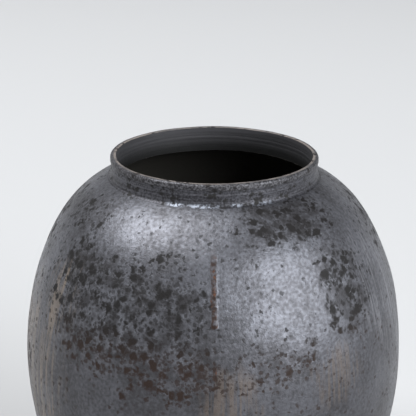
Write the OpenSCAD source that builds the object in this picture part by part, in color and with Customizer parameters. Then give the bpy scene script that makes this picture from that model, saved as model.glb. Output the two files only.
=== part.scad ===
// Coil-built black clay jar: a full round body with a short upright collar.
// +Z is up, and the origin is the centre of the plane that the jar stands on.
// Every piece is turned about Z. A coil's outer and inner faces are arcs about
// one centre, and the arcs of neighbouring coils are tangent where they meet.

/* [Body] */
// Outer radius of the belly at its widest place
belly_r = 160; // [130:1:195]
// Height of the widest place above the ground
belly_h = 180; // [145:1:220]
// Outer radius of the foot on the ground
foot_r = 85; // [70:1:105]
// Thickness of the wall, from the foot to the collar
wall = 5.4; // [4.4:0.1:6.6]

/* [Curves] */
// Radius of the belly's upright curve, as a multiple of the belly's radius
belly_bow = 1.78; // [1.6:0.01:2.1]
// Radius of the lower shoulder's curve, as a multiple of the belly's radius
shoulder_bow = 1.303; // [1.1:0.001:1.45]
// Radius of the upper shoulder's curve, as a multiple of the belly's radius
crown_bow = 0.547; // [0.46:0.001:0.65]
// Slope of the wall, in degrees from upright, where the belly turns to the foot
under_slope = 12; // [8:0.5:15]
// Slope of the wall, in degrees from upright, where the belly turns to the shoulder
belly_slope = 10.5; // [8:0.5:13]
// Slope of the wall, in degrees from upright, where the upper shoulder starts
shoulder_slope = 30.5; // [25:0.5:37]

/* [Mouth] */
// Outer radius of the lip
lip_r = 86; // [71:0.5:104]
// Thickness of the lip
lip_t = 4.8; // [4:0.1:5.8]
// Height of the lip coil
lip_h = 5; // [4.2:0.1:6]
// Radius of the lip's rounded outer edge
lip_round = 2.2; // [1.6:0.1:2.8]
// Radius of the lip's inner edge
lip_inner_round = 0.7; // [0.4:0.1:1]
// How far the lip stands out past the collar
lip_overhang = 0.5; // [0.3:0.1:0.9]
// Height from the collar's crease to the top of the lip
collar_h = 17.1; // [13.5:0.1:22]
// Radius of the crease between the collar and the shoulder
crease_round = 4.8; // [3.8:0.1:6]

/* [Foot] */
// Thickness of the base pad
pad_t = 9; // [7:0.5:12]
// Bevel on the foot's ground edge
foot_bevel = 1.2; // [0.6:0.1:2]
// Width of the ring that touches the ground
stand_w = 13; // [9:1:17]
// Depth of the hollow under the pad
hollow_d = 1.5; // [1:0.1:2.2]
// Radius of the clay pressed into the corner inside the foot
corner_round = 8; // [6:0.5:11]

/* [Seams] */
// Slant of a coil's seam across the wall, in degrees from square: the upper coil laps inside
lap = 35; // [15:1:45]
// Fall of the lip's seat across the collar, in degrees
seat_fall = 18; // [8:1:28]

/* [Hidden] */
$fn = 180;
// Facets of the very flat arc under the pad
fine = 5 * $fn;

// How far a cutting shape runs past what it cuts
past = 4 * wall;
// How far the corner's curve bites into the wall, so that the two meet cleanly
bite = 0.01;
// Where the pressed clay in the corner ends, as a part of its radius
corner_cut = 0.3;

// Unit vector at an elevation above the horizontal
function aim(a) = [cos(a), sin(a)];
// Unit vector from one point to another
function toward(p, q) = (q - p) / norm(q - p);
// Radius of an arc that leaves point p square to direction n and passes through q
function arc_through(p, n, q) = -((q - p) * (q - p)) / (2 * ((q - p) * n));
// Height at which a circle of radius r about c reaches the distance x from the axis
function height_at(c, r, x) = c.y + sqrt(pow(r, 2) - pow(x - c.x, 2));
// Elevation, below the horizontal, at which a circle of radius r about c reaches the height z
function fall_at(c, r, z) = -asin((c.y - z) / r);

// Arcs of the outer face: radius and centre of each
belly_arc = belly_bow * belly_r;
shoulder_arc = shoulder_bow * belly_r;
crown_arc = crown_bow * belly_r;
belly_c = [belly_r - belly_arc, belly_h];
shoulder_c = belly_c + (belly_arc - shoulder_arc) * aim(belly_slope);
crown_c = shoulder_c + (shoulder_arc - crown_arc) * aim(shoulder_slope);
under_p = belly_c + belly_arc * aim(-under_slope);
under_arc = arc_through(under_p, aim(-under_slope), [foot_r, 0]);
under_c = under_p - under_arc * aim(-under_slope);

// Collar and lip
collar_r = lip_r - lip_overhang;
mouth_r = lip_r - lip_t;
crease_z = height_at(crown_c, crown_arc, collar_r);
top_z = crease_z + collar_h;
lip_z = top_z - lip_h;
lip_seat_drop = (collar_r - mouth_r) * tan(seat_fall);
// Centre of the crease's curve, which touches both the collar and the shoulder
crease_c = [
    collar_r + crease_round,
    height_at(crown_c, crown_arc + crease_round, collar_r + crease_round)
];
// Ends of the collar's seat: on the outer face, and in the bore
seat_outer = crown_c + crown_arc * toward(crown_c, crease_c);
seat_inner = [mouth_r, height_at(crown_c, crown_arc - wall, mouth_r)];

// Foot
bevel_a = (90 + fall_at(under_c, under_arc, 0)) / 2;
bevel_p = [foot_r - foot_bevel, 0];
pad_edge_a = fall_at(under_c, under_arc, pad_t);
pad_edge = under_c + under_arc * aim(pad_edge_a);
stand_r = foot_r - foot_bevel - stand_w;
hollow_arc = (pow(stand_r, 2) + pow(hollow_d, 2)) / (2 * hollow_d);
corner_c = [
    under_c.x + sqrt(pow(under_arc - wall - corner_round, 2)
        - pow(under_c.y - pad_t - corner_round, 2)),
    pad_t + corner_round
];

// Elevation of the seam that halves the lower wall
mid_under_a = (pad_edge_a - under_slope) / 2;

// Quarter disc or its mirror image, square corner at its centre: dx is 1 or -1
module quarter(r, dx) {
    intersection() {
        circle(r);
        translate([dx > 0 ? 0 : -r, 0]) square(r);
    }
}

// Section of a wall of even thickness about centre c with outer radius r.
// It is cut by the line through p0 along e0 below, and through p1 along e1 above.
module wall_section(c, r, p0, e0, p1, e1) {
    intersection() {
        difference() {
            translate(c) circle(r);
            translate(c) circle(r - wall);
        }
        polygon([p0 + past * e0, p1 + past * e1, p1 - past * e1, p0 - past * e0]);
    }
}

// Coil of the wall between two lapped seams, at the elevations a0 and a1 of its arc
module coil(c, r, a0, a1) {
    rotate_extrude()
        wall_section(c, r, c + r * aim(a0), aim(a0 + lap), c + r * aim(a1), aim(a1 + lap));
}

// Section of the clay pressed into the corner between the foot coil and the pad
module corner_section() {
    difference() {
        intersection() {
            translate(under_c) circle(under_arc - wall / 2);
            translate([corner_c.x + corner_cut * corner_round, pad_t]) square(past);
            polygon([corner_c, corner_c - [0, past], corner_c + 2 * past * toward(under_c, corner_c)]);
        }
        translate(corner_c) circle(corner_round + bite);
    }
}

// Flat pad that the jar stands on, hollowed slightly underneath
module base_pad() {
    color("#2c2a2b")
        rotate_extrude()
            difference() {
                intersection() {
                    translate(under_c) circle(under_arc);
                    square([belly_r, pad_t]);
                    polygon([[0, 0], bevel_p, bevel_p + past * aim(bevel_a), [belly_r, past], [0, past]]);
                }
                translate([0, hollow_d - hollow_arc]) circle(hollow_arc, $fn = fine);
            }
}

// First coil, standing on the pad, with its inner corner filled and smoothed
module foot_coil() {
    color("#343133")
        rotate_extrude() {
            wall_section(under_c, under_arc, pad_edge, [1, 0],
                under_c + under_arc * aim(mid_under_a), aim(mid_under_a + lap));
            corner_section();
        }
}

// Second coil, which opens the body out from the foot
module lower_wall_coil() {
    color("#3a373a") coil(under_c, under_arc, mid_under_a, -under_slope);
}

// Third coil, up to the widest place
module belly_coil() {
    color("#403d40") coil(belly_c, belly_arc, -under_slope, 0);
}

// Fourth coil, up from the widest place
module upper_wall_coil() {
    color("#454245") coil(belly_c, belly_arc, 0, belly_slope);
}

// Fifth coil, which turns the body in
module lower_shoulder_coil() {
    color("#4a474b") coil(shoulder_c, shoulder_arc, belly_slope, shoulder_slope);
}

// Sixth coil, which closes the shoulder to the mouth and carries the collar's seat
module upper_shoulder_coil() {
    color("#504d51")
        rotate_extrude()
            wall_section(crown_c, crown_arc,
                crown_c + crown_arc * aim(shoulder_slope), aim(shoulder_slope + lap),
                seat_outer, toward(seat_inner, seat_outer));
}

// Upright collar on the shoulder's edge, with the crease smoothed at its root
module neck_collar() {
    color("#565357")
        rotate_extrude() {
            polygon([
                [mouth_r, crease_c.y],
                [collar_r, crease_c.y],
                [collar_r, lip_z],
                [mouth_r, lip_z - lip_seat_drop]
            ]);
            difference() {
                polygon([
                    seat_inner,
                    seat_inner + (crease_c.x - mouth_r) / (seat_outer.x - mouth_r)
                        * (seat_outer - seat_inner),
                    crease_c,
                    [mouth_r, crease_c.y]
                ]);
                translate(crease_c) circle(crease_round);
            }
        }
}

// Thin coil laid on the collar and smoothed to a rounded lip
module lip_coil() {
    outer_x = lip_r - lip_round;
    inner_x = mouth_r + lip_inner_round;
    color("#8d857c")
        rotate_extrude() {
            polygon([
                [mouth_r, lip_z - lip_seat_drop],
                [collar_r, lip_z],
                [lip_r, lip_z + lip_overhang],
                [lip_r, top_z - lip_round],
                [outer_x, top_z - lip_round],
                [outer_x, top_z],
                [inner_x, top_z],
                [inner_x, top_z - lip_inner_round],
                [mouth_r, top_z - lip_inner_round]
            ]);
            translate([outer_x, top_z - lip_round]) quarter(lip_round, 1);
            translate([inner_x, top_z - lip_inner_round]) quarter(lip_inner_round, -1);
        }
}

base_pad();
foot_coil();
lower_wall_coil();
belly_coil();
upper_wall_coil();
lower_shoulder_coil();
upper_shoulder_coil();
neck_collar();
lip_coil();
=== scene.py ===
"""Looks of a coil-built, burnished black clay jar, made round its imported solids.

Each coil of clay is drawn as one closed section with the spin and extrude tools and turned
about the jar's axis. One lattice and one noise field then drift all the coils together, as a
hand does, so that neighbouring coils still meet face to face.
"""

import logging
import math
import random
from collections.abc import Callable, Iterable, Mapping, Sequence
from dataclasses import dataclass, field
from enum import Enum
from functools import cached_property
from typing import Any

import bpy
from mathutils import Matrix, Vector


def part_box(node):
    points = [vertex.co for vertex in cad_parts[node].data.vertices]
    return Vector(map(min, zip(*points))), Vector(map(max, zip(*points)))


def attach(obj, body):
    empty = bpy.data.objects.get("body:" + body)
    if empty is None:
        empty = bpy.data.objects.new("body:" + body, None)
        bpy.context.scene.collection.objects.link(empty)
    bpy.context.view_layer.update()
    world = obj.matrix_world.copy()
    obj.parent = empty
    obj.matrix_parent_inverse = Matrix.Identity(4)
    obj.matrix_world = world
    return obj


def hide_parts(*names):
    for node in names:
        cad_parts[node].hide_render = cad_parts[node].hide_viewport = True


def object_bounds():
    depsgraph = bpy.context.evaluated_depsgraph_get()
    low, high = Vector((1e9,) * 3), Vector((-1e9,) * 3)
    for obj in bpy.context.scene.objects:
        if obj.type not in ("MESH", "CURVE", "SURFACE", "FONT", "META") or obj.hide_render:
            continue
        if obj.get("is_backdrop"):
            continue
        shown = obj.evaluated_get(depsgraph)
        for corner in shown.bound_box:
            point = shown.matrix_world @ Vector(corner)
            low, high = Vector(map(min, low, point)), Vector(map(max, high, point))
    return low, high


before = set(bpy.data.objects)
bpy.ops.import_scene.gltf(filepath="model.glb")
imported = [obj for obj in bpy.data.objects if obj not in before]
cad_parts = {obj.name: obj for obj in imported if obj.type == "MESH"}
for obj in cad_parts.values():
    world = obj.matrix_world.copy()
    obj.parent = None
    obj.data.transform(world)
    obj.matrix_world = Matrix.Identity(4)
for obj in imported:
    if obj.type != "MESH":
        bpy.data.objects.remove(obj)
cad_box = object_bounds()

log = logging.getLogger("clay_jar")

MM = 0.001
FULL_TURN = 2 * math.pi
SIDE_AXIS = (0.0, 1.0, 0.0)
CENTRE = (0.0, 0.0, 0.0)
TINY = 0.001 * MM

Socket = bpy.types.NodeSocket
Piece = bpy.types.Object


# ---------------------------------------------------------------- the outline


def aim(slope: float) -> Vector:
    """Gives the unit vector, in radius and height, that rises at an angle.

    Args:
        slope: Angle above the horizontal, in radians.

    Returns:
        The vector (radius, height).
    """
    return Vector((math.cos(slope), math.sin(slope)))


@dataclass(frozen=True)
class Arc:
    """A round stretch of the jar's outer outline, in the plane of radius and height."""

    centre: Vector
    radius: float

    def at(self, slope: float, depth: float = 0.0) -> Vector:
        """Gives a point of the wall.

        Args:
            slope: Angle by which the outer face's normal rises there, in radians.
            depth: Distance under the outer face.

        Returns:
            The point (radius, height).
        """
        return self.centre + (self.radius - depth) * aim(slope)

    def slope_at(self, height: float) -> float:
        """Gives the normal's rise where the outer face reaches a height."""
        return math.asin((height - self.centre.y) / self.radius)

    def slope_to(self, point: Vector) -> float:
        """Gives the rise of the line from the arc's centre to a point."""
        return math.atan2(point.y - self.centre.y, point.x - self.centre.x)

    def depth_of(self, point: Vector) -> float:
        """Gives how far a point lies under the outer face."""
        return self.radius - (point - self.centre).length

    def seam_inside(self, slope: float, wall: float, lap: float) -> float:
        """Gives where a seam that starts on the outer face comes out inside.

        Args:
            slope: Rise of the normal where the seam starts.
            wall: Thickness of the wall.
            lap: Slant of the seam from square.

        Returns:
            The rise of the normal at the seam's inner end.
        """
        run = self.radius * math.cos(lap)
        run -= math.sqrt(run**2 - self.radius**2 + (self.radius - wall) ** 2)
        return self.slope_to(self.at(slope) - run * aim(slope + lap))


@dataclass(frozen=True)
class Outline:
    """The jar's turned shape: its arcs and the places where the coils meet."""

    wall: float = 5.4 * MM
    lap: float = math.radians(35)
    belly_bow: float = 1.78
    shoulder_bow: float = 1.303
    crown_bow: float = 0.547
    under_slope: float = math.radians(-12)
    belly_slope: float = math.radians(10.5)
    shoulder_slope: float = math.radians(30.5)

    @cached_property
    def belly_r(self) -> float:
        """Outer radius at the widest place."""
        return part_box("belly_coil")[1].x

    @cached_property
    def belly_h(self) -> float:
        """Height of the widest place."""
        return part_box("belly_coil")[1].z

    @cached_property
    def pad_edge(self) -> Vector:
        """Outer edge of the pad's top."""
        return Vector((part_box("base_pad")[1].x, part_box("base_pad")[1].z))

    @cached_property
    def belly(self) -> Arc:
        """The upright curve of the belly."""
        radius = self.belly_bow * self.belly_r
        return Arc(Vector((self.belly_r - radius, self.belly_h)), radius)

    @cached_property
    def shoulder(self) -> Arc:
        """The curve of the lower shoulder."""
        return self._next(self.belly, self.belly_slope, self.shoulder_bow * self.belly_r)

    @cached_property
    def crown(self) -> Arc:
        """The curve of the upper shoulder."""
        return self._next(self.shoulder, self.shoulder_slope, self.crown_bow * self.belly_r)

    @cached_property
    def under(self) -> Arc:
        """The curve from the belly down to the foot.

        Returns:
            Its arc, which meets the belly smoothly and ends at the pad's edge.
        """
        start = self.belly.at(self.under_slope)
        way = self.pad_edge - start
        radius = -way.dot(way) / (2 * way.dot(aim(self.under_slope)))
        return Arc(start - radius * aim(self.under_slope), radius)

    @staticmethod
    def _next(arc: Arc, slope: float, radius: float) -> Arc:
        """Gives the arc of a new radius that leaves another arc smoothly."""
        return Arc(arc.centre + (arc.radius - radius) * aim(slope), radius)


OUTLINE = Outline()


# ---------------------------------------------------------------- modelling by hand


def only(piece: Piece) -> None:
    """Makes a piece the one selected and active object.

    Args:
        piece: The piece.
    """
    bpy.ops.object.select_all(action="DESELECT")
    piece.select_set(True)
    bpy.context.view_layer.objects.active = piece


class Section:
    """A closed outline of one piece, drawn upright at the jar's right-hand side."""

    def __init__(self, name: str, start: Vector) -> None:
        """Starts the outline at a point.

        Args:
            name: Name of the solid that the piece takes the place of.
            start: First point (radius, height).
        """
        bpy.ops.object.select_all(action="DESELECT")
        bpy.ops.mesh.primitive_circle_add(
            vertices=3, radius=0.1 * MM, location=(start.x, 0, start.y)
        )
        self.piece: Piece = bpy.context.object
        self.piece.name = f"{name}_finished"
        self.piece.data.name = self.piece.name
        bpy.ops.object.transform_apply(location=True, rotation=True, scale=True)
        bpy.ops.object.mode_set(mode="EDIT")
        bpy.ops.mesh.select_mode(type="VERT")
        bpy.ops.mesh.select_all(action="SELECT")
        bpy.ops.mesh.merge(type="CENTER")
        self.start = start
        self.end = start

    def arc(self, centre: Vector, sweep: float, step: float) -> "Section":
        """Goes on round a centre.

        Args:
            centre: Centre of the round stretch.
            sweep: Angle turned, upward where it is positive.
            step: Greatest length of one edge.

        Returns:
            The section itself.
        """
        arm = self.end - centre
        steps = max(2, math.ceil(arm.length * abs(sweep) / step))
        bpy.ops.mesh.spin(
            steps=steps, angle=sweep, center=(centre.x, 0, centre.y), axis=SIDE_AXIS
        )
        self.end = centre + arm.length * aim(math.atan2(arm.y, arm.x) + sweep)
        return self

    def line(self, to: Vector, step: float = math.inf) -> "Section":
        """Goes on straight to a point.

        Args:
            to: The point (radius, height).
            step: Greatest length of one edge.

        Returns:
            The section itself.
        """
        way = to - self.end
        steps = max(1, math.ceil(way.length / step))
        for _ in range(steps):
            bpy.ops.mesh.extrude_region_move(
                TRANSFORM_OT_translate={"value": (way.x / steps, 0, way.y / steps)}
            )
        self.end = to
        return self

    def close(self, step: float = math.inf) -> "Section":
        """Goes back to the first point and joins it.

        Args:
            step: Greatest length of one edge.

        Returns:
            The section itself.
        """
        self.line(self.start, step)
        bpy.ops.mesh.select_all(action="SELECT")
        bpy.ops.mesh.remove_doubles(threshold=TINY)
        return self

    def groove(self, place: Vector, inward: Vector, depth: float, width: float) -> "Section":
        """Presses a soft groove into the outline, or raises a ridge.

        Args:
            place: Middle of the groove.
            inward: Direction into the clay.
            depth: How deep it is, or how high where it is negative.
            width: Half its width.

        Returns:
            The section itself.
        """
        nearest = min(self._points(), key=lambda p: (p - place).length)
        self._pick(lambda p: (p - nearest).length < TINY)
        move = depth * inward
        bpy.ops.transform.translate(
            value=(move.x, 0, move.y),
            use_proportional_edit=True,
            proportional_edit_falloff="SMOOTH",
            proportional_size=width,
        )
        return self

    def turn(self, steps: int) -> Piece:
        """Turns the outline about the jar's axis into a closed shell.

        Args:
            steps: Steps of the full turn.

        Returns:
            The piece.
        """
        bpy.ops.object.mode_set(mode="OBJECT")
        only(self.piece)
        screw = self.piece.modifiers.new("turn", "SCREW")
        screw.axis = "Z"
        screw.angle = FULL_TURN
        screw.steps = steps
        screw.render_steps = steps
        screw.use_merge_vertices = True
        screw.merge_threshold = TINY
        bpy.ops.object.modifier_apply(modifier=screw.name)
        bpy.ops.object.mode_set(mode="EDIT")
        bpy.ops.mesh.select_all(action="SELECT")
        bpy.ops.mesh.remove_doubles(threshold=TINY)
        bpy.ops.mesh.dissolve_degenerate(threshold=TINY)
        bpy.ops.mesh.select_all(action="SELECT")
        bpy.ops.mesh.normals_make_consistent(inside=False)
        bpy.ops.mesh.select_all(action="DESELECT")
        bpy.ops.object.mode_set(mode="OBJECT")
        return self.piece

    def _points(self) -> list[Vector]:
        """Gives the drawn points (radius, height), as they are now."""
        self.piece.update_from_editmode()
        return [Vector((v.co.x, v.co.z)) for v in self.piece.data.vertices]

    def _pick(self, wanted: Callable[[Vector], bool]) -> None:
        """Selects the drawn vertices whose point passes a test.

        Args:
            wanted: The test of a point (radius, height).
        """
        bpy.ops.mesh.select_all(action="DESELECT")
        bpy.ops.object.mode_set(mode="OBJECT")
        for vertex in self.piece.data.vertices:
            vertex.select = wanted(Vector((vertex.co.x, vertex.co.z)))
        bpy.ops.object.mode_set(mode="EDIT")


class HandDrift:
    """The small unevenness that the maker's hands leave, the same field for every coil."""

    LAYERS = 7
    ACROSS = 4
    ROOM = 1.1
    LEAN = 1.3 * MM
    LEAN_FROM = 0.45
    TILT = 0.0075
    WANDER = 0.7 * MM
    WANDER_UPWARD = 0.4
    SETTLED = 4
    DENT_SIZE = 55 * MM
    DENT_DEPTH = 1.1 * MM
    RIPPLE_SIZE = 9 * MM
    CREASE_ANGLE = math.radians(38)

    def __init__(self, seed: int = 7) -> None:
        """Makes the lattice and the two noise fields.

        Args:
            seed: Seed of the small random drift.
        """
        low, high = (Vector(corner) for corner in cad_box)
        size = (high - low) * self.ROOM
        bpy.ops.object.select_all(action="DESELECT")
        bpy.ops.object.add(type="LATTICE", location=(low + high) / 2)
        self.lattice = bpy.context.object
        self.lattice.name = "hand_drift"
        self.lattice.scale = size
        cage = self.lattice.data
        cage.points_u = cage.points_v = self.ACROSS
        cage.points_w = self.LAYERS
        dice = random.Random(seed)
        for point in cage.points:
            place = Vector(a * b for a, b in zip(point.co, size, strict=True))
            rise = point.co.z + 0.5
            drift = self._drift(place, rise, dice)
            point.co_deform = point.co + Vector(a / b for a, b in zip(drift, size, strict=True))
        self.dents = self._noise("palm_dents", self.DENT_SIZE)
        self.ripples = self._noise("finger_ripples", self.RIPPLE_SIZE)

    @classmethod
    def _drift(cls, place: Vector, rise: float, dice: random.Random) -> Vector:
        """Gives one lattice point's move.

        Args:
            place: The point from the jar's middle.
            rise: Its height, from 0 at the ground to 1 at the top.
            dice: Source of the small random part.

        Returns:
            The move in metres.
        """
        high = max(0.0, rise - cls.LEAN_FROM) / (1 - cls.LEAN_FROM)
        lean = Vector((cls.LEAN * high**2, 0, -cls.TILT * place.x * high**2))
        hand = Vector(dice.uniform(-cls.WANDER, cls.WANDER) for _ in range(3))
        hand.z *= cls.WANDER_UPWARD
        return lean + hand * min(1.0, cls.SETTLED * rise)

    @staticmethod
    def _noise(name: str, size: float) -> bpy.types.Texture:
        """Makes a soft coloured noise of one grain size.

        Args:
            name: Name of the noise.
            size: Its grain, as a length.

        Returns:
            The noise.
        """
        noise = bpy.data.textures.new(name, type="CLOUDS")
        noise.cloud_type = "COLOR"
        noise.noise_scale = size
        noise.noise_depth = 1
        return noise

    def shape(self, piece: Piece, ripple: float = 0.0) -> None:
        """Drifts a piece and smooths its shading.

        Args:
            piece: The piece.
            ripple: Depth of the small finger ripples on it.
        """
        only(piece)
        self._dent(piece, self.dents, self.DENT_DEPTH)
        if ripple:
            self._dent(piece, self.ripples, ripple)
        bend = piece.modifiers.new("drift", "LATTICE")
        bend.object = self.lattice
        bpy.ops.object.modifier_apply(modifier=bend.name)
        bpy.ops.object.shade_smooth_by_angle(angle=self.CREASE_ANGLE)

    @staticmethod
    def _dent(piece: Piece, noise: bpy.types.Texture, depth: float) -> None:
        """Moves a piece's surface by a noise field and applies it.

        Args:
            piece: The piece.
            noise: The noise field.
            depth: How far the noise moves the surface.
        """
        dent = piece.modifiers.new(noise.name, "DISPLACE")
        dent.texture = noise
        dent.texture_coords = "LOCAL"
        dent.direction = "RGB_TO_XYZ"
        dent.strength = depth
        bpy.ops.object.modifier_apply(modifier=dent.name)

    def put_away(self) -> None:
        """Removes the lattice, which isn't part of the jar."""
        bpy.data.objects.remove(self.lattice)


# ---------------------------------------------------------------- node tools


class Graph:
    """A node tree that is filled in reading order, each node placed right of the last."""

    COLUMNS = 12
    SPACING = (180, -260)

    def __init__(self, tree: bpy.types.NodeTree) -> None:
        """Starts on an empty tree.

        Args:
            tree: The tree, which is emptied.
        """
        self.tree = tree
        self.tree.nodes.clear()
        self.count = 0

    def put(
        self,
        kind: str,
        sockets: Mapping[str | int, Any] | None = None,
        out: str | int = 0,
        **settings: Any,
    ) -> Socket:
        """Adds a node and wires or sets its inputs.

        Args:
            kind: Type of the node, without its leading "ShaderNode".
            sockets: For each input, what feeds it or its value.
            out: The output that is wanted.
            **settings: Properties of the node itself.

        Returns:
            That output.
        """
        node = self.tree.nodes.new("ShaderNode" + kind)
        across, down = self.SPACING
        row, column = divmod(self.count, self.COLUMNS)
        node.location = (across * column, down * row)
        self.count += 1
        for name, value in settings.items():
            setattr(node, name, value)
        for key, value in (sockets or {}).items():
            if isinstance(value, bpy.types.NodeSocket):
                self.tree.links.new(value, node.inputs[key])
            else:
                node.inputs[key].default_value = value
        return node.outputs[out] if node.outputs else None

    def use(self, group: bpy.types.NodeTree, sockets: Mapping[str, Any], out: str) -> Socket:
        """Places a node group.

        Args:
            group: The group.
            sockets: For each input, what feeds it or its value.
            out: The output that is wanted.

        Returns:
            That output.
        """
        return self.put("Group", sockets, out, node_tree=group)

    def sum(self, operation: str, a: Any, b: Any = 0.0) -> Socket:
        """Adds a Math node that works on one or two numbers."""
        return self.put("Math", {0: a, 1: b}, operation=operation)

    def vector(self, operation: str, a: Any, b: Any = (0, 0, 0), out: str = "Vector") -> Socket:
        """Adds a Vector Math node that works on one or two vectors."""
        return self.put("VectorMath", {0: a, 1: b}, out, operation=operation)

    def noise(self, place: Socket, grain: float, detail: float = 2, out: str = "Fac") -> Socket:
        """Adds a noise.

        Args:
            place: The place on the jar.
            grain: Size of its grain, as a length.
            detail: How much finer noise is laid over it.
            out: The output that is wanted.

        Returns:
            That output.
        """
        sockets = {"Vector": place, "Scale": 1 / grain, "Detail": detail}
        return self.put("TexNoise", sockets, out)

    def ramp(
        self, value: Socket, low: Any, high: Any, to_low: Any = 0.0, to_high: Any = 1.0
    ) -> Socket:
        """Adds a soft step from one value to another between two limits.

        Args:
            value: What is compared with the limits.
            low: Limit where the step starts.
            high: Limit where the step ends.
            to_low: Value at and below the first limit.
            to_high: Value at and above the second limit.

        Returns:
            The stepped value.
        """
        sockets = {"Value": value, "From Min": low, "From Max": high}
        sockets |= {"To Min": to_low, "To Max": to_high}
        return self.put("MapRange", sockets, interpolation_type="SMOOTHSTEP")

    def weigh(self, *parts: tuple[Socket, float]) -> Socket:
        """Adds up values, each times its weight.

        Args:
            *parts: Each value and its weight, two or more.

        Returns:
            The sum.
        """
        first, *others = parts
        total = self.sum("MULTIPLY", *first)
        for part in others:
            total = self.sum("ADD", total, self.sum("MULTIPLY", *part))
        return total

    def less(self, mask: Socket, full: float) -> Socket:
        """Gives a value that goes from full to nothing as a mask goes from black to white."""
        return self.sum("MULTIPLY", self.sum("SUBTRACT", 1.0, mask), full)

    def blend(self, mask: Any, under: Any, over: Any) -> Socket:
        """Lays one colour over another where a mask is white."""
        return self.put("Mix", {0: mask, 6: under, 7: over}, 2, data_type="RGBA")

    def lerp(self, mask: Any, under: Any, over: Any) -> Socket:
        """Goes from one number to another as a mask goes from black to white."""
        return self.put("Mix", {0: mask, 2: under, 3: over}, 0, data_type="FLOAT")

    def split(self, vector: Socket) -> tuple[Socket, Socket, Socket]:
        """Gives a vector's three parts."""
        parts = self.put("SeparateXYZ", {0: vector}).node.outputs
        return parts[0], parts[1], parts[2]

    def join(self, x: Any, y: Any, z: Any) -> Socket:
        """Makes a vector of three numbers."""
        return self.put("CombineXYZ", {0: x, 1: y, 2: z})


def new_group(
    name: str, takes: Mapping[str, str], gives: Mapping[str, str]
) -> tuple[Graph, dict[str, Socket], Callable[[Mapping[str, Socket]], bpy.types.NodeTree]]:
    """Starts a shader node group.

    Args:
        name: Name of the group.
        takes: Name and kind (Vector, Float or Color) of each input.
        gives: Name and kind of each output.

    Returns:
        Its graph, its inputs by name, and the function that wires its outputs and gives it.
    """
    tree = bpy.data.node_groups.new(name, "ShaderNodeTree")
    graph = Graph(tree)
    for way, sockets in (("INPUT", takes), ("OUTPUT", gives)):
        for title, kind in sockets.items():
            tree.interface.new_socket(name=title, in_out=way, socket_type="NodeSocket" + kind)
    start = tree.nodes.new("NodeGroupInput")
    start.location = (-Graph.SPACING[0], 0)
    end = tree.nodes.new("NodeGroupOutput")

    def finish(results: Mapping[str, Socket]) -> bpy.types.NodeTree:
        """Wires the outputs.

        Args:
            results: What feeds each output.

        Returns:
            The finished group.
        """
        for title, result in results.items():
            tree.links.new(result, end.inputs[title])
        end.location = (Graph.SPACING[0] * Graph.COLUMNS, 0)
        return tree

    return graph, {title: start.outputs[title] for title in takes}, finish


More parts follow.
